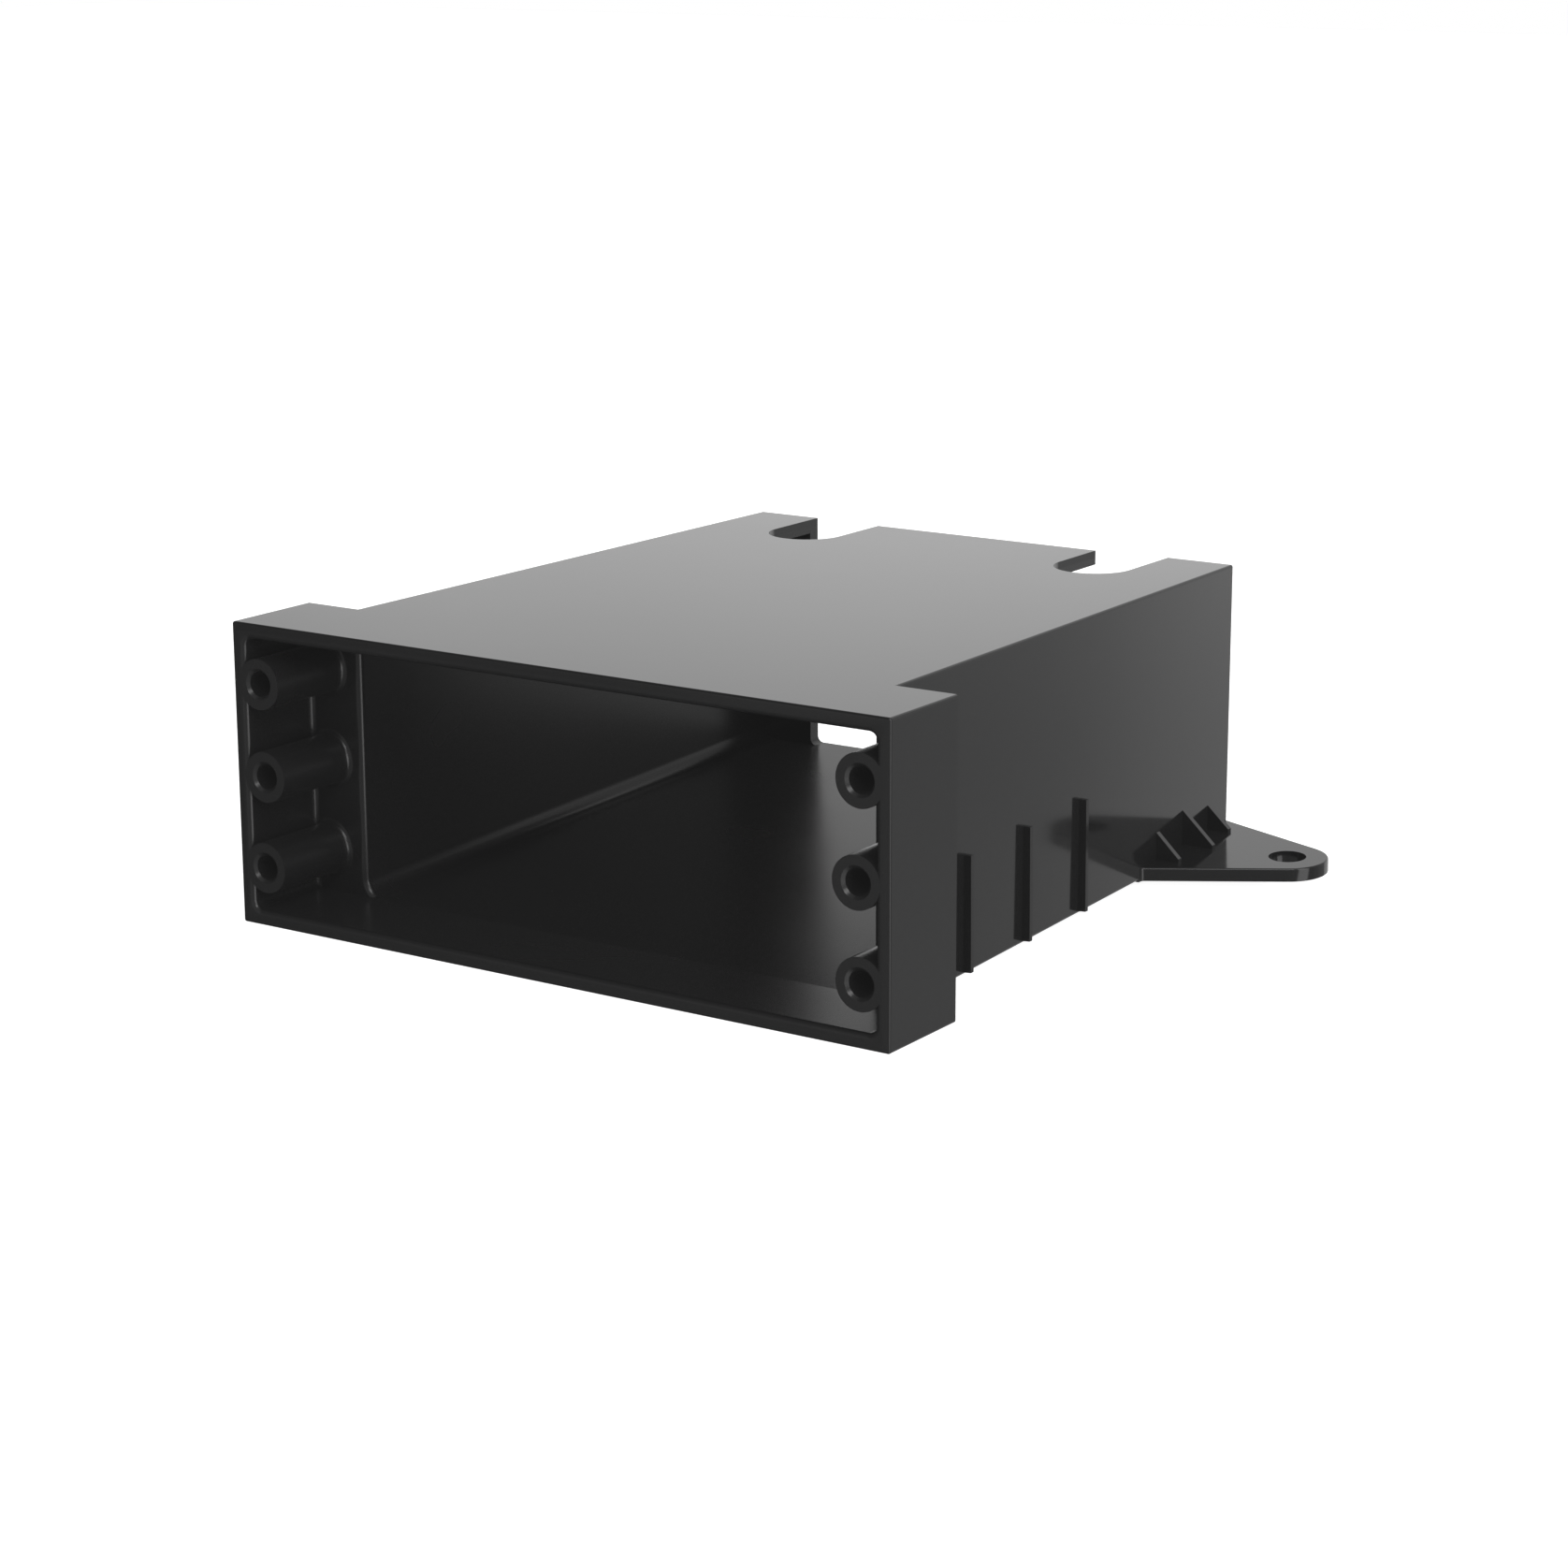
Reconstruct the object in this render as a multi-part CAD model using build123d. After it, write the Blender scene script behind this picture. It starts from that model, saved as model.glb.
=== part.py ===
from build123d import *
import os
from math import cos, radians, sin, tan

# Injection moulded housing, one piece: a wide screw collar at the front and behind it a narrower
# drafted body, which is open at the back between two corner walls.
# X runs to the right, Y to the rear and Z up. The origin is the centre of the collar's front face,
# which is also the centre of its screw pattern. Lengths are in millimetres, drafts in degrees.

# Collar
collar_width = 120.0
collar_height = 48.0
collar_depth = 17.5
wall = 2.4                    # every wall of the moulding
collar_corner_radius = 1.4    # inner corners of the rim
rim_round = 0.8               # inner edge of the rim's front face
edge_round = 0.4              # outer edges

# Body
housing_depth = 125.0         # from the collar's front face to the rear wall's outer face
body_inset = 10.1             # from the collar's side to the body's side, where they meet
side_draft = 1.44
skirt_draft = 1.05            # lower edges of the side walls rise to the rear
floor_draft = 2.5             # the floor and the ears rise to the rear
floor_corner_radius = 2.8     # long inner corners beside the floor
roof_corner_radius = 1.2      # long inner corners beside the roof
step_root_radius = 0.9        # collar's side wall to the step wall
step_edge_radius = 1.0        # step wall to the body's inner side
recess_start = 30.0           # behind the front face, where the hollow under the floor begins

# Screw bosses: two columns of three, their faces flush with the rim
boss_radius = 4.0
boss_pitch = 14.6
outer_boss_edge = 5.0         # from the collar's side to the axis, top and bottom bosses
middle_boss_edge = 5.6        # the same for the middle bosses
screw_hole_radius = 2.05      # pilot hole for a 5 mm thread-forming screw
screw_hole_depth = 13.0
hole_chamfer = 0.45
boss_root_radius = 1.0

# Rear window and the notches in the roof
window_half_width = 35.1
window_corner_radius = 1.2
notch_width = 13.3
notch_length = 20.0
tongue_setback = 0.9          # the roof between the notches ends short of the rear face

# Ribs on the body's sides
rib_count = 3
rib_start = 19.7              # from the collar's rear face to the middle of the first rib
rib_pitch = 17.9
rib_thickness = 0.8
rib_length = 18.5             # upward from the side wall's lower edge
rib_foot_reach = 1.4          # how far a rib stands out at its foot
rib_head_reach = 1.25
rib_foot_rise = 0.5           # the foot's outer end is higher than its root

# Ears
ear_length = 30.8             # along the body's side, ending at the rear face
ear_below_floor = 2.5         # from the floor's upper face down to the ear's
ear_thickness = 2.2
ear_hole_radius = 3.05
ear_hole_reach = 65.6         # from the middle of the housing to the hole's axis
ear_hole_from_rear = 14.0
ear_tip_radius = 6.6
ear_root_radius = 0.9         # between the ear's front edge and the body's side
ear_edge_round = 0.3          # upper edges only

# Gussets between the ear and the body's side, from front to rear
gusset_pitch = 9.3
gusset_from_rear = 15.9       # the middle gusset
gusset_thickness = 1.0
gusset_toe = 0.6              # height of a gusset's outer end
front_gusset_height = 4.5
front_gusset_reach = 4.1
middle_gusset_height = 5.8
middle_gusset_reach = 5.6
rear_gusset_height = 4.2
rear_gusset_reach = 3.9

# Places worked out from the sizes above
base = -collar_height / 2
top = collar_height / 2
step_y = collar_depth - wall
rear_inner_y = housing_depth - wall
notch_middle = window_half_width - notch_width / 2
ear_hole_y = housing_depth - ear_hole_from_rear
embed = wall / 2              # how far ribs, bosses and ears are rooted in the wall they stand on
margin = 1.0                  # how far a cutting shape runs past the face it meets
straight_share = 0.9          # of an edge's direction, for it to count as running along an axis


def body_half_width(y):
    """Half of the body's outer width at a distance y behind the front face."""
    return collar_width / 2 - body_inset - (y - collar_depth) * tan(radians(side_draft))


def room_half_width(y):
    """Half of the body's inner width."""
    return body_half_width(y) - wall


def skirt_z(y):
    """Height of the side walls' lower edges."""
    return base + (y - collar_depth) * tan(radians(skirt_draft))


def floor_z(y):
    """Height of the floor's upper face."""
    return base + wall + (y - step_y) * tan(radians(floor_draft))


def roof_z(y):
    """Height of the roof's inner face, which is level."""
    return top - wall


def ear_z(y):
    """Height of the ear's upper face."""
    return floor_z(y) - ear_below_floor


def drafted_block(y_front, y_rear, half_width, low, high):
    """Block between two rectangles square to Y; half_width, low and high are functions of y."""
    ends = []
    for y in (y_front, y_rear):
        w = half_width(y)
        ends.append([(-w, y, low(y)), (w, y, low(y)), (w, y, high(y)), (-w, y, high(y))])
    front, rear = ends
    outlines = [front, rear]
    for i in range(4):
        j = (i + 1) % 4
        outlines.append([front[i], front[j], rear[j], rear[i]])
    faces = [make_face(Polyline(*outline, close=True)) for outline in outlines]
    return Solid(Shell([face.faces()[0] for face in faces]))


def runs_along_y(edge):
    return abs((edge.position_at(1) - edge.position_at(0)).normalized().Y) > straight_share


def outer_block():
    """Collar and body, still solid, with their long edges and the front edges broken."""
    collar = Pos(0, collar_depth / 2, 0) * Box(collar_width, collar_depth, collar_height)
    body = drafted_block(collar_depth, housing_depth, body_half_width, skirt_z, lambda y: top)
    block = (collar + body).clean()
    long_edges = block.edges().filter_by(runs_along_y)
    front_edges = block.edges().group_by(Axis.Y)[0]
    return fillet(long_edges + front_edges, edge_round)


def body_hollow():
    """The body's inside, from the step wall to the rear wall."""
    hollow = drafted_block(step_y, rear_inner_y, room_half_width, floor_z, roof_z)
    corners = hollow.edges().filter_by(runs_along_y).sort_by(Axis.Z)
    hollow = fillet(corners[:2], floor_corner_radius)
    corners = hollow.edges().filter_by(runs_along_y).sort_by(Axis.Z)
    return fillet(corners[-2:], roof_corner_radius)


def rounded_mouth(hollow):
    """Widens the body's mouth in the step wall to a rounded edge, between floor and roof."""
    depth = 2 * step_edge_radius
    slab = Pos(0, step_y + depth / 2, 0) * Box(collar_width, depth, collar_height)
    plate = slab - hollow
    mouth = plate.edges().group_by(Axis.Y)[0].filter_by(
        lambda edge: abs(edge.center().X) < room_half_width(step_y) + margin
        and abs(edge.center().Z) < top - margin
    )
    opening = slab - fillet(mouth, step_edge_radius)
    between = drafted_block(step_y, step_y + depth, lambda y: collar_width / 2, floor_z, roof_z)
    return opening & between


def inner_room():
    """Everything hollow inside the collar and the body."""
    collar_room = Pos(0, step_y / 2, 0) * Box(
        collar_width - 2 * wall, step_y, collar_height - 2 * wall
    )
    collar_room = fillet(collar_room.edges().filter_by(runs_along_y), collar_corner_radius)
    hollow = body_hollow()
    return collar_room + hollow + rounded_mouth(hollow)


def floor_recess():
    """The shallow hollow under the floor, between the side walls' lower edges."""
    recess = drafted_block(
        recess_start,
        rear_inner_y,
        room_half_width,
        lambda y: base - margin,
        lambda y: floor_z(y) - wall,
    )
    return recess


def rear_window():
    """Opening in the rear wall, from the floor to the roof."""
    window = drafted_block(
        rear_inner_y - margin, housing_depth + margin, lambda y: window_half_width, floor_z, roof_z
    )
    corners = window.edges().filter_by(runs_along_y).sort_by(Axis.Z)
    return fillet(corners[:2], window_corner_radius)


def roof_notches():
    """Two notches with round ends, and the strip cleared behind the tongue between them."""
    height = 2 * (wall + margin)
    cuts = []
    for side in (-1, 1):
        straight = notch_length - notch_width / 2 + margin
        start_y = housing_depth + margin - straight / 2
        middle_x = side * notch_middle
        slot = Pos(middle_x, start_y, top) * Box(notch_width, straight, height)
        end = Pos(middle_x, housing_depth - notch_length + notch_width / 2, top) * Cylinder(
            notch_width / 2, height
        )
        cuts.append(slot + end)
    strip_depth = tongue_setback + margin
    strip = Pos(0, housing_depth - tongue_setback + strip_depth / 2, top) * Box(
        2 * notch_middle, strip_depth, height
    )
    return cuts[0] + cuts[1] + strip


def boss_places():
    """X and Z of every screw axis."""
    places = []
    for side in (-1, 1):
        for row in (-1, 0, 1):
            edge = middle_boss_edge if row == 0 else outer_boss_edge
            places.append((side * (collar_width / 2 - edge), row * boss_pitch))
    return places


def boss():
    """Screw boss along +Y with a flared root on the step wall; its axis starts at the origin."""
    r = boss_radius
    flare = boss_root_radius
    root = step_y + embed
    outline = [
        Line((0, 0), (r, 0)),
        Line((r, 0), (r, step_y - flare)),
        RadiusArc((r, step_y - flare), (r + flare, step_y), flare),
        Line((r + flare, step_y), (r + flare, root)),
        Line((r + flare, root), (0, root)),
        Line((0, root), (0, 0)),
    ]
    return revolve(make_face(outline), Axis.Y)


def screw_hole():
    """Blind pilot hole with a chamfered mouth."""
    r = screw_hole_radius
    c = hole_chamfer
    outline = Polyline(
        (0, -margin),
        (r + c, -margin),
        (r + c, 0),
        (r, c),
        (r, screw_hole_depth),
        (0, screw_hole_depth),
        close=True,
    )
    return revolve(make_face(outline), Axis.Y)


def step_roots():
    """Rounded roots between the collar's side walls and the step wall."""
    r = step_root_radius
    corner_x = collar_width / 2 - wall
    roots = []
    for side in (-1, 1):
        block = Pos(side * (corner_x - (r - embed) / 2), step_y - (r - embed) / 2, 0) * Box(
            r + embed, r + embed, collar_height - 2 * wall
        )
        round_bar = Pos(side * (corner_x - r), step_y - r, 0) * Cylinder(r, collar_height)
        roots.append(block - round_bar)
    return roots


def side_rib(middle_y):
    """Upright rib on the right side of the body."""
    wall_x = body_half_width(middle_y)
    foot = skirt_z(middle_y)
    head = foot + rib_length
    outline = Polyline(
        (wall_x - embed, foot + edge_round),
        (wall_x, foot + edge_round),
        (wall_x + rib_foot_reach, foot + rib_foot_rise),
        (wall_x + rib_head_reach, head),
        (wall_x - embed, head),
        close=True,
    )
    section = Plane.XZ.offset(-(middle_y - rib_thickness / 2)) * make_face(outline)
    return extrude(section, amount=rib_thickness, dir=(0, 1, 0))


def ear():
    """Right ear: a plate parallel to the floor, rounded about its hole."""
    slope = radians(floor_draft)
    stretch = 1 / cos(slope)
    front_y = housing_depth - ear_length
    rear_y = housing_depth - edge_round
    front_x = body_half_width(front_y)
    rear_x = body_half_width(rear_y)
    root = Polyline(
        (front_x - embed, front_y * stretch),
        (front_x, front_y * stretch),
        (rear_x, rear_y * stretch),
        (rear_x - embed, rear_y * stretch),
        close=True,
    )
    tip = Pos(ear_hole_reach, ear_hole_y * stretch) * CenterArc((0, 0), ear_tip_radius, 0, 360)
    strip_y = front_y - ear_root_radius
    strip_x = body_half_width(strip_y)
    strip = Polyline(
        (front_x - embed, front_y * stretch),
        (front_x, front_y * stretch),
        (strip_x, strip_y * stretch),
        (strip_x - embed, strip_y * stretch),
        close=True,
    )
    outline = make_hull(root.edges() + tip.edges()) + make_face(strip)
    corner = outline.vertices().sort_by_distance((front_x, front_y * stretch, 0))[0]
    outline = fillet(corner, ear_root_radius)
    level = Plane(origin=(0, 0, ear_z(0)), x_dir=(1, 0, 0), z_dir=(0, -sin(slope), cos(slope)))
    plate = extrude(level * outline, amount=-ear_thickness)
    upper_edges = plate.faces().sort_by(Axis.Z)[-1].edges()
    outer_edges = upper_edges.filter_by(
        lambda edge: edge.center().X > body_half_width(edge.center().Y) + margin
    )
    return fillet(outer_edges, ear_edge_round)


def ear_hole():
    """Upright through hole in the right ear."""
    return Pos(ear_hole_reach, ear_hole_y, ear_z(ear_hole_y)) * Cylinder(
        ear_hole_radius, 2 * (ear_thickness + margin)
    )


def gusset(middle_y, height, reach):
    """Thin triangle that stiffens the right ear."""
    wall_x = body_half_width(middle_y)
    ear_top = ear_z(middle_y)
    outline = Polyline(
        (wall_x - embed, ear_top - ear_thickness / 2),
        (wall_x + reach, ear_top - ear_thickness / 2),
        (wall_x + reach, ear_top + gusset_toe),
        (wall_x, ear_top + height),
        (wall_x - embed, ear_top + height),
        close=True,
    )
    section = Plane.XZ.offset(-(middle_y - gusset_thickness / 2)) * make_face(outline)
    return extrude(section, amount=gusset_thickness, dir=(0, 1, 0))


def right_side_features():
    """Ribs, ear and gussets on the right side of the body."""
    features = ear()
    for number in range(rib_count):
        features += side_rib(collar_depth + rib_start + number * rib_pitch)
    middle_y = housing_depth - gusset_from_rear
    features += gusset(middle_y - gusset_pitch, front_gusset_height, front_gusset_reach)
    features += gusset(middle_y, middle_gusset_height, middle_gusset_reach)
    features += gusset(middle_y + gusset_pitch, rear_gusset_height, rear_gusset_reach)
    return features - ear_hole()


def housing():
    shape = outer_block() - inner_room()
    rim = shape.edges().group_by(Axis.Y)[0].filter_by(
        lambda edge: abs(edge.center().X) < collar_width / 2 - margin
        and abs(edge.center().Z) < top - margin
    )
    shape = fillet(rim, rim_round)
    shape -= floor_recess()
    shape -= rear_window()
    shape -= roof_notches()
    for root in step_roots():
        shape += root
    envelope = Pos(0, collar_depth / 2, 0) * Box(
        collar_width - 2 * edge_round, collar_depth, collar_height
    )
    for x, z in boss_places():
        turn = 0 if x < 0 else 180
        shape += (Pos(x, 0, z) * Rot(0, turn, 0) * boss()) & envelope
    for x, z in boss_places():
        shape -= Pos(x, 0, z) * screw_hole()
    features = right_side_features()
    shape += features
    shape += mirror(features, Plane.YZ)
    return shape


shape = housing()
os.makedirs("parts", exist_ok=True)
export_step(shape, "parts/housing.step")
print("housing", len(shape.solids()), "solid", len(shape.faces()), "faces", shape.bounding_box())
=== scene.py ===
# %% [markdown]
# # A moulded black housing
#
# The object is one injection moulding in glossy black plastic: a wide screw collar in front and a
# drafted, open body behind it, with ribs and mounting ears on its sides. The solid model already
# holds every wall, boss, rib and notch, so this lesson is about the surface: how the edges of a
# moulding catch light, how black plastic reflects a room, and how to light it.
# Lengths are in metres, X runs to the right, Y to the rear and Z up.

# %% Load the solid model
import math

import bpy
from mathutils import Matrix, Vector


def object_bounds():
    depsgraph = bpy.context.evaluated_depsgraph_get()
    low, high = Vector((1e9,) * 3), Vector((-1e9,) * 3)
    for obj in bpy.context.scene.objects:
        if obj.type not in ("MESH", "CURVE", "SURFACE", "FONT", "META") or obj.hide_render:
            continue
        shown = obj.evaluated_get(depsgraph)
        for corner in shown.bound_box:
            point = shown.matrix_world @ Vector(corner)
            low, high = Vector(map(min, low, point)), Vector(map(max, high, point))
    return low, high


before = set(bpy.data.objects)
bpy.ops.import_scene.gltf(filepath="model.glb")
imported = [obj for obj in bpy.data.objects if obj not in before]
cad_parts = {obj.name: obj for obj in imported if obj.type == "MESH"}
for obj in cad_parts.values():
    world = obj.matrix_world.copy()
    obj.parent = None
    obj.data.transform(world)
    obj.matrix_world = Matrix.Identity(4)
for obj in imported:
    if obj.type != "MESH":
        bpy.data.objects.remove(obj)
cad_low, cad_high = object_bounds()
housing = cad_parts["housing"]
print("triangles", len(housing.data.polygons))

# %% [markdown]
# ## Smooth rounds, flat walls
#
# A solid model reaches Blender as small flat triangles. On a glossy part every triangle of a round
# would show as a facet. Three modifiers cure that and leave the mesh itself alone. Weld joins the
# loose triangles at their corners. A small node group then shades every edge smooth that turns by
# less than a set angle and keeps real corners sharp. Weighted Normal lets the large faces decide
# the shading at their borders, so that a wall stays flat right up to its rounded edge.

# %% Shade the moulding
SMOOTH_ANGLE = math.radians(32)
JOIN_DISTANCE = 2e-6


def smooth_below_angle(angle):
    """Node group that keeps edges turning by more than the angle sharp and smooths the rest."""
    group = bpy.data.node_groups.new("moulded_rounds", "GeometryNodeTree")
    group.interface.new_socket("Geometry", in_out="INPUT", socket_type="NodeSocketGeometry")
    group.interface.new_socket("Geometry", in_out="OUTPUT", socket_type="NodeSocketGeometry")
    nodes, links = group.nodes, group.links
    entry = nodes.new("NodeGroupInput")
    leave = nodes.new("NodeGroupOutput")
    faces = nodes.new("GeometryNodeSetShadeSmooth")
    faces.domain = "FACE"
    edges = nodes.new("GeometryNodeSetShadeSmooth")
    edges.domain = "EDGE"
    turn = nodes.new("GeometryNodeInputMeshEdgeAngle")
    gentle = nodes.new("FunctionNodeCompare")
    gentle.data_type = "FLOAT"
    gentle.operation = "LESS_THAN"
    gentle.inputs["B"].default_value = angle
    links.new(entry.outputs["Geometry"], faces.inputs["Geometry"])
    links.new(faces.outputs["Geometry"], edges.inputs["Geometry"])
    links.new(turn.outputs["Unsigned Angle"], gentle.inputs["A"])
    links.new(gentle.outputs["Result"], edges.inputs["Shade Smooth"])
    links.new(edges.outputs["Geometry"], leave.inputs["Geometry"])
    return group


def shade_moulding(piece):
    """Adds the three modifiers in the order in which they work."""
    weld = piece.modifiers.new("join_corners", "WELD")
    weld.merge_threshold = JOIN_DISTANCE
    smooth = piece.modifiers.new("moulded_rounds", "NODES")
    smooth.node_group = smooth_below_angle(SMOOTH_ANGLE)
    normals = piece.modifiers.new("flat_walls", "WEIGHTED_NORMAL")
    normals.mode = "FACE_AREA"
    normals.weight = 100
    normals.keep_sharp = True


shade_moulding(housing)
print("modifiers", [m.name for m in housing.modifiers])

# %% [markdown]
# ## Where the polish is
#
# The outer faces of a moulding come from the polished cavity of the tool. The inner faces come
# from its core, which is only stoned, so they shine less. The material therefore needs to know
# which faces lie inside. Two measures in Object coordinates tell it: how far a point is from the
# middle, against a limit that runs half way through the side walls, and how high it is, against
# half way through the roof. The result is a mask, 1 inside and 0 outside. There is no limit
# below or in front, so the underside and most of the front rim take the duller finish too.

# %% Tell inside from outside
WALL = 0.0024
COLLAR_DEPTH = 0.0175
COLLAR_HALF_WIDTH = 0.0600
BODY_HALF_WIDTH_FRONT = 0.0499
BODY_HALF_WIDTH_REAR = 0.0472


def math_step(nodes, links, operation, first, second=None):
    """One Math node; each input is an output socket or a plain number."""
    step = nodes.new("ShaderNodeMath")
    step.operation = operation
    for place, value in enumerate((first, second)):
        if isinstance(value, (int, float)):
            step.inputs[place].default_value = value
        elif value is not None:
            links.new(value, step.inputs[place])
    return step.outputs["Value"]


def inside_mask(nodes, links, place):
    """1 in the hollow, on the underside and on most of the rim; 0 on the roof and sides."""
    parts = nodes.new("ShaderNodeSeparateXYZ")
    links.new(place.outputs["Object"], parts.inputs["Vector"])
    body = nodes.new("ShaderNodeMapRange")
    body.inputs["From Min"].default_value = COLLAR_DEPTH
    body.inputs["From Max"].default_value = cad_high.y
    body.inputs["To Min"].default_value = BODY_HALF_WIDTH_FRONT - WALL / 2
    body.inputs["To Max"].default_value = BODY_HALF_WIDTH_REAR - WALL / 2
    links.new(parts.outputs["Y"], body.inputs["Value"])
    in_collar = math_step(nodes, links, "LESS_THAN", parts.outputs["Y"], COLLAR_DEPTH - WALL / 2)
    extra = COLLAR_HALF_WIDTH - BODY_HALF_WIDTH_FRONT
    wider = math_step(nodes, links, "MULTIPLY", in_collar, extra)
    limit = math_step(nodes, links, "ADD", body.outputs["Result"], wider)
    across = math_step(nodes, links, "ABSOLUTE", parts.outputs["X"])
    between_walls = math_step(nodes, links, "LESS_THAN", across, limit)
    under_roof = math_step(nodes, links, "LESS_THAN", parts.outputs["Z"], cad_high.z - WALL / 2)
    return math_step(nodes, links, "MULTIPLY", between_walls, under_roof)


print("inside limit", round((BODY_HALF_WIDTH_FRONT - WALL / 2) * 1000, 1), "mm at the body's mouth")

# %% [markdown]
# ## Black moulding plastic
#
# The plastic is deep black. Nearly all that is seen on it is reflection: a black plastic sends
# back only about one part in a hundred of the light that falls on it, but like any plastic it
# mirrors four parts in a hundred face on and far more at a glancing angle. A Principled shader
# with a near-black base does exactly this, and its roughness follows the mask. A faint white
# emission over the whole part is painted light: a glow that lifts the blacks, most plainly deep
# in the hollow. No moulding is a perfect mirror either. Its surface waves a little where the
# plastic shrank, and the polish varies. Two soft noises give that: a wide, very shallow bump,
# and a small change of roughness. They stay on the part in every view.

# %% Make the plastic
PLASTIC_BLACK = (0.0125, 0.0125, 0.0128, 1.0)
PLASTIC_IOR = 1.5
WHITE = (1.0, 1.0, 1.0, 1.0)
PAINTED_GLOW_STRENGTH = 0.0070
OUTER_ROUGHNESS = 0.10
INNER_ROUGHNESS = 0.26
ROUGHNESS_CHANGE = 0.06
NOISE_RANGE = (0.3, 0.7)
POLISH_LENGTH = 0.020
WAVE_LENGTH = 0.030
WAVE_HEIGHT = 0.000003


def noise(nodes, links, place, length, detail):
    """Noise whose features are about one length across, in metres."""
    texture = nodes.new("ShaderNodeTexNoise")
    texture.inputs["Scale"].default_value = 1 / length
    texture.inputs["Detail"].default_value = detail
    links.new(place.outputs["Object"], texture.inputs["Vector"])
    return texture


def black_plastic():
    """Near-black plastic with a faint painted glow, polished outside and duller inside, faintly
    waved.
    """
    material = bpy.data.materials.new("black_moulding_plastic")
    material.use_nodes = True
    nodes, links = material.node_tree.nodes, material.node_tree.links
    shader = nodes["Principled BSDF"]
    shader.inputs["Base Color"].default_value = PLASTIC_BLACK
    shader.inputs["IOR"].default_value = PLASTIC_IOR
    # Painted glow: a faint white emission that lifts the blacks all over the part.
    shader.inputs["Emission Color"].default_value = WHITE
    shader.inputs["Emission Strength"].default_value = PAINTED_GLOW_STRENGTH
    place = nodes.new("ShaderNodeTexCoord")
    finish = nodes.new("ShaderNodeMapRange")
    finish.inputs["To Min"].default_value = OUTER_ROUGHNESS
    finish.inputs["To Max"].default_value = INNER_ROUGHNESS
    links.new(inside_mask(nodes, links, place), finish.inputs["Value"])
    polish = noise(nodes, links, place, POLISH_LENGTH, 2)
    change = nodes.new("ShaderNodeMapRange")
    change.inputs["From Min"].default_value = NOISE_RANGE[0]
    change.inputs["From Max"].default_value = NOISE_RANGE[1]
    change.inputs["To Min"].default_value = 1 - ROUGHNESS_CHANGE
    change.inputs["To Max"].default_value = 1 + ROUGHNESS_CHANGE
    links.new(polish.outputs["Fac"], change.inputs["Value"])
    finish, change = finish.outputs["Result"], change.outputs["Result"]
    rough = math_step(nodes, links, "MULTIPLY", finish, change)
    links.new(rough, shader.inputs["Roughness"])
    waves = noise(nodes, links, place, WAVE_LENGTH, 1)
    bump = nodes.new("ShaderNodeBump")
    bump.inputs["Strength"].default_value = 1.0
    bump.inputs["Distance"].default_value = WAVE_HEIGHT
    links.new(waves.outputs["Fac"], bump.inputs["Height"])
    links.new(bump.outputs["Normal"], shader.inputs["Normal"])
    return material


housing.data.materials.clear()
housing.data.materials.append(black_plastic())
print("material", housing.data.materials[0].name)

# %% [markdown]
# ## Floor
#
# The part stands on a plain white sweep. The floor takes the soft shadow of the part, and for the
# camera it glows just below white, so that it melts into the background. It is hidden from glossy
# reflections, because the room painted in the next step already says what the plastic mirrors
# below the horizon.

# %% Lay the floor
FLOOR_SIDE = 6.0
FLOOR_GLOW = 0.93
FLOOR_PALE = (0.8, 0.8, 0.8, 1.0)
FLOOR_ROUGHNESS = 0.9


def floor_material():
    """White to the camera, with what light adds on top of the glow; plain pale matt otherwise."""
    material = bpy.data.materials.new("white_sweep")
    material.use_nodes = True
    nodes, links = material.node_tree.nodes, material.node_tree.links
    shader = nodes["Principled BSDF"]
    shader.inputs["Base Color"].default_value = FLOOR_PALE
    shader.inputs["Roughness"].default_value = FLOOR_ROUGHNESS
    shader.inputs["Specular IOR Level"].default_value = 0.0
    shader.inputs["Emission Color"].default_value = WHITE
    sight = nodes.new("ShaderNodeLightPath")
    glow = math_step(nodes, links, "MULTIPLY", sight.outputs["Is Camera Ray"], FLOOR_GLOW)
    links.new(glow, shader.inputs["Emission Strength"])
    return material


def lay_floor():
    """Square of floor under the part."""
    half = FLOOR_SIDE / 2
    z = cad_low.z
    mesh = bpy.data.meshes.new("floor")
    corners = [(-half, -half, z), (half, -half, z), (half, half, z), (-half, half, z)]
    mesh.from_pydata(corners, [], [(0, 1, 2, 3)])
    floor = bpy.data.objects.new("floor", mesh)
    bpy.context.scene.collection.objects.link(floor)
    mesh.materials.append(floor_material())
    floor.visible_glossy = False
    return floor


floor = lay_floor()
print("floor at", round(cad_low.z * 1000, 1), "mm")

# %% [markdown]
# ## The room in the reflections
#
# Glossy black plastic is drawn by what it mirrors. Behind the part the room is a broad bright
# wall, which the roof mirrors. It reaches round to the right, where it falls off in a soft step:
# the rear end of the right wall mirrors the bright side of that step and the collar the dim side.
# In front the room is dim, which is why the rim is nearly black. A narrow bright panel at the
# front right puts the light strips on the rounded corners.
# A studio could be built from many lamps, but a world shader gives the same with a short list: a
# Radial gradient turns a direction into its share of a full turn, and a Color Ramp gives the
# brightness there. Angles are in degrees from X towards Y.

# %% Brightness round the compass
ROOM_RING = [
    (-180, 0.12),
    (-138, 0.09),
    (-133, 0.16),
    (-127, 0.24),
    (-124, 0.42),
    (-90, 0.41),
    (-71, 0.32),
    (-35, 0.41),
    (-29, 2.80),
    (-5, 2.80),
    (2, 0.34),
    (56, 0.56),
    (63.3, 0.56),
    (64.1, 0.80),
    (65.4, 1.07),
    (72, 1.10),
    (90, 1.06),
    (122, 1.08),
    (129, 1.00),
    (135, 0.86),
    (170, 0.35),
    (180, 0.12),
]
ROOM_PEAK = 2.8


def turn_share(angle):
    """Share of a full turn, from 0 to 1, at an angle from -180 to 180 degrees."""
    return angle / 360 + 0.5


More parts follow.
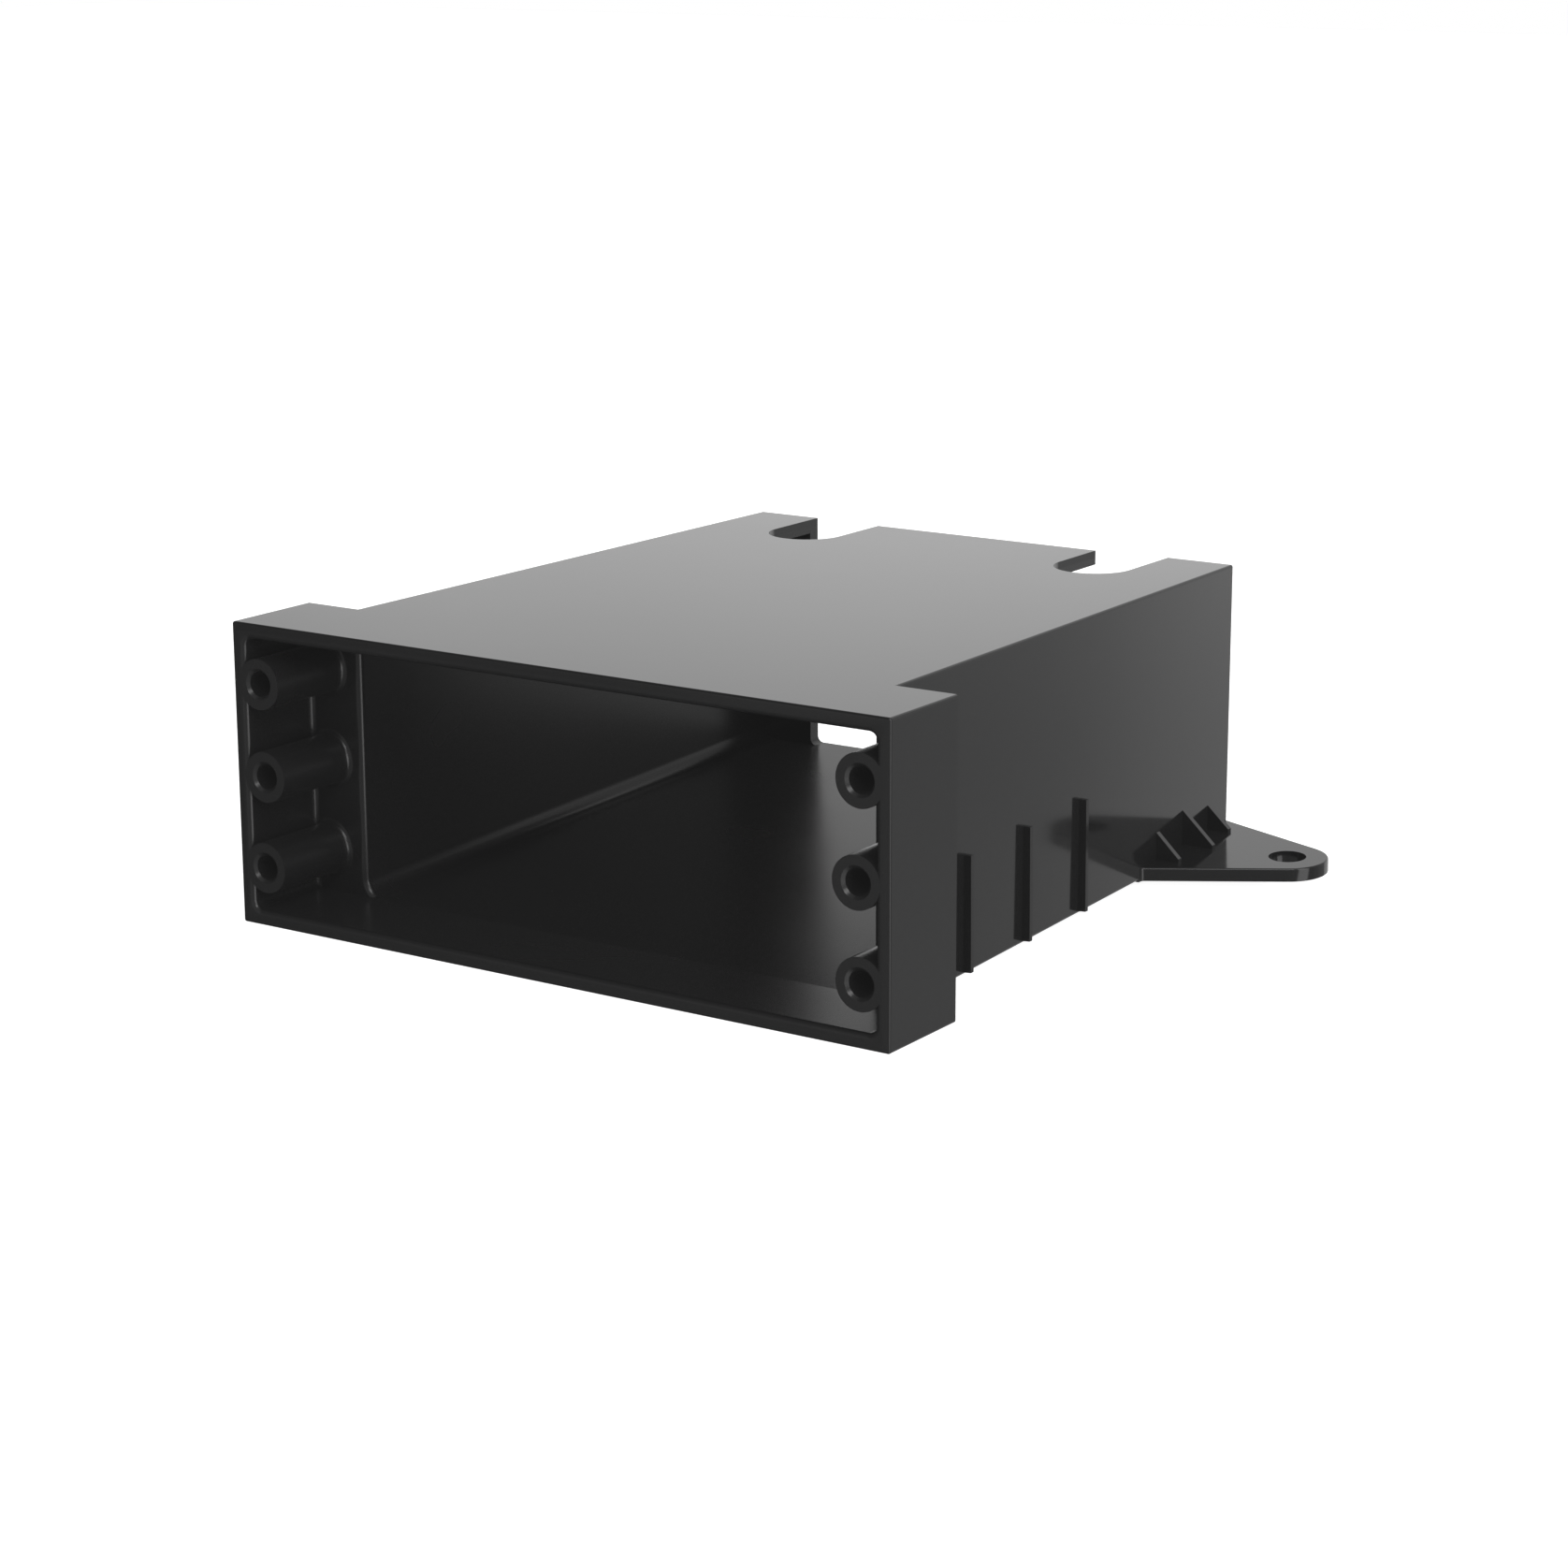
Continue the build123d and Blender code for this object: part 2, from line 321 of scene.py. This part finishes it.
def compass_ring(nodes, links, turn):
    """Color Ramp with one stop for each angle, as a share of the peak."""
    ring = nodes.new("ShaderNodeValToRGB")
    ramp = ring.color_ramp
    ramp.interpolation = "EASE"
    while len(ramp.elements) > 1:
        ramp.elements.remove(ramp.elements[-1])
    for number, (angle, level) in enumerate(ROOM_RING):
        place = turn_share(angle)
        stop = ramp.elements[0] if number == 0 else ramp.elements.new(place)
        stop.position = place
        grey = level / ROOM_PEAK
        stop.color = (grey, grey, grey, 1.0)
    links.new(turn, ring.inputs["Fac"])
    return ring.outputs["Color"]


print("room ring", len(ROOM_RING), "stops, peak", ROOM_PEAK)

# %% [markdown]
# ## Low and high in the room
#
# The ring alone would be the same from floor to ceiling. A studio dims towards the floor and
# towards the top of its bright wall, so the brightness is also multiplied by a share that depends
# on the direction's Z, which is the sine of its height. Behind the part, to the left, the bright
# wall ends lower, and that leaves the front of the hollow's floor dark.

# %% Shares by height
LOW_BAND = (-0.24, -0.16)
LOW_SHARE = 0.7
HIGH_BAND = (0.16, 0.26)
HIGH_SHARE = 0.77
TOP_BAND = (0.29, 0.34)
TOP_CUT = 0.5
TOP_TURN = (118, 122)


def band(nodes, links, value, limits, shares):
    """Smooth change from one share to another while a value crosses a band."""
    step = nodes.new("ShaderNodeMapRange")
    step.interpolation_type = "SMOOTHSTEP"
    step.inputs["From Min"].default_value = limits[0]
    step.inputs["From Max"].default_value = limits[1]
    step.inputs["To Min"].default_value = shares[0]
    step.inputs["To Max"].default_value = shares[1]
    links.new(value, step.inputs["Value"])
    return step.outputs["Result"]


def height_share(nodes, links, height, turn):
    """Share left after the dimming near the floor, high up, and above the wall's lower end."""
    low = band(nodes, links, height, LOW_BAND, (LOW_SHARE, 1.0))
    high = band(nodes, links, height, HIGH_BAND, (1.0, HIGH_SHARE))
    above = band(nodes, links, height, TOP_BAND, (0.0, TOP_CUT))
    turned = band(nodes, links, turn, [turn_share(angle) for angle in TOP_TURN], (0.0, 1.0))
    cut = math_step(nodes, links, "MULTIPLY", above, turned)
    kept = math_step(nodes, links, "SUBTRACT", 1.0, cut)
    share = math_step(nodes, links, "MULTIPLY", low, high)
    return math_step(nodes, links, "MULTIPLY", share, kept)


print("shares: low", LOW_SHARE, "high", HIGH_SHARE, "top left behind", 1 - TOP_CUT)

# %% [markdown]
# ## The world
#
# The ring and the shares meet in one Background. The camera itself must see plain white, so the
# Light Path node swaps the room for a white Background on camera rays alone.

# %% Paint the room
def room_world():
    """World that is white to the camera and the painted room to every other ray."""
    world = bpy.data.worlds.new("studio_room")
    world.use_nodes = True
    nodes, links = world.node_tree.nodes, world.node_tree.links
    nodes.clear()
    direction = nodes.new("ShaderNodeTexCoord").outputs["Generated"]
    compass = nodes.new("ShaderNodeTexGradient")
    compass.gradient_type = "RADIAL"
    links.new(direction, compass.inputs["Vector"])
    turn = compass.outputs["Fac"]
    parts = nodes.new("ShaderNodeSeparateXYZ")
    links.new(direction, parts.inputs["Vector"])
    share = height_share(nodes, links, parts.outputs["Z"], turn)
    room = nodes.new("ShaderNodeBackground")
    links.new(compass_ring(nodes, links, turn), room.inputs["Color"])
    links.new(math_step(nodes, links, "MULTIPLY", share, ROOM_PEAK), room.inputs["Strength"])
    white = nodes.new("ShaderNodeBackground")
    white.inputs["Color"].default_value = WHITE
    sight = nodes.new("ShaderNodeLightPath")
    choose = nodes.new("ShaderNodeMixShader")
    links.new(sight.outputs["Is Camera Ray"], choose.inputs["Fac"])
    links.new(room.outputs["Background"], choose.inputs[1])
    links.new(white.outputs["Background"], choose.inputs[2])
    leave = nodes.new("ShaderNodeOutputWorld")
    links.new(choose.outputs["Shader"], leave.inputs["Surface"])
    return world


scene = bpy.context.scene
scene.world = room_world()
print("world", scene.world.name)

# %% [markdown]
# ## Soft box
#
# One large soft box hangs in front, above the camera and a little to its right. It puts the small
# glints on the chamfers and rounds that face it. It is big and not bright, so that the shadow it
# throws on the floor stays faint.

# %% Hang the soft box
LAMP_SIDE = 0.5
LAMP_DISTANCE = 1.4
LAMP_COMPASS = math.radians(-52)
LAMP_HEIGHT = math.radians(38)
LAMP_POWER = 3.0


def hang_soft_box(name, compass, height, distance, side, power):
    """Square lamp that faces the middle of the part from a compass angle and a height angle."""
    lamp = bpy.data.lights.new(name, "AREA")
    lamp.shape = "SQUARE"
    lamp.size = side
    lamp.energy = power
    holder = bpy.data.objects.new(name, lamp)
    bpy.context.scene.collection.objects.link(holder)
    way = Vector((
        math.cos(compass) * math.cos(height),
        math.sin(compass) * math.cos(height),
        math.sin(height),
    ))
    middle = (cad_low + cad_high) / 2
    holder.location = middle + way * distance
    holder.rotation_euler = (-way).to_track_quat("-Z", "Y").to_euler()
    return holder


soft_box = hang_soft_box(
    "soft_box", LAMP_COMPASS, LAMP_HEIGHT, LAMP_DISTANCE, LAMP_SIDE, LAMP_POWER
)
print("soft box at", [round(v, 2) for v in soft_box.location])

# %% [markdown]
# ## Camera
#
# The part is seen from the front right and a little above, from about 58 cm, near enough for a
# clear perspective. A camera is set by what it looks at, the direction from there to the lens, and
# the distance. The focal length is worked out from a length in pixels and the sensor's width.

# %% Place the camera
LOOK_AT = Vector((0.00166, 0.0600, -0.0059))
CAMERA_COMPASS = math.radians(34.227)
CAMERA_HEIGHT = math.radians(14.149)
CAMERA_DISTANCE = 0.57848
CAMERA_ROLL = math.radians(0.219)
SENSOR = 36.0
FRAME_SIDE = 1676
FOCAL_PIXELS = 3876
NEAREST = 0.01


def place_camera():
    """Camera that looks at a point from an angle right of the front and a height angle."""
    data = bpy.data.cameras.new("camera")
    data.sensor_width = SENSOR
    data.lens = FOCAL_PIXELS / FRAME_SIDE * SENSOR
    data.clip_start = NEAREST
    camera = bpy.data.objects.new("camera", data)
    bpy.context.scene.collection.objects.link(camera)
    back = Vector((
        math.sin(CAMERA_COMPASS) * math.cos(CAMERA_HEIGHT),
        -math.cos(CAMERA_COMPASS) * math.cos(CAMERA_HEIGHT),
        math.sin(CAMERA_HEIGHT),
    ))
    turn = (-back).to_track_quat("-Z", "Y").to_matrix()
    roll = Matrix.Rotation(-CAMERA_ROLL, 3, "Z")
    place = Matrix.Translation(LOOK_AT + back * CAMERA_DISTANCE)
    camera.matrix_world = place @ (turn @ roll).to_4x4()
    return camera


scene.camera = place_camera()
scene.view_settings.view_transform = "Standard"
print("camera at", [round(v, 3) for v in scene.camera.matrix_world.translation])
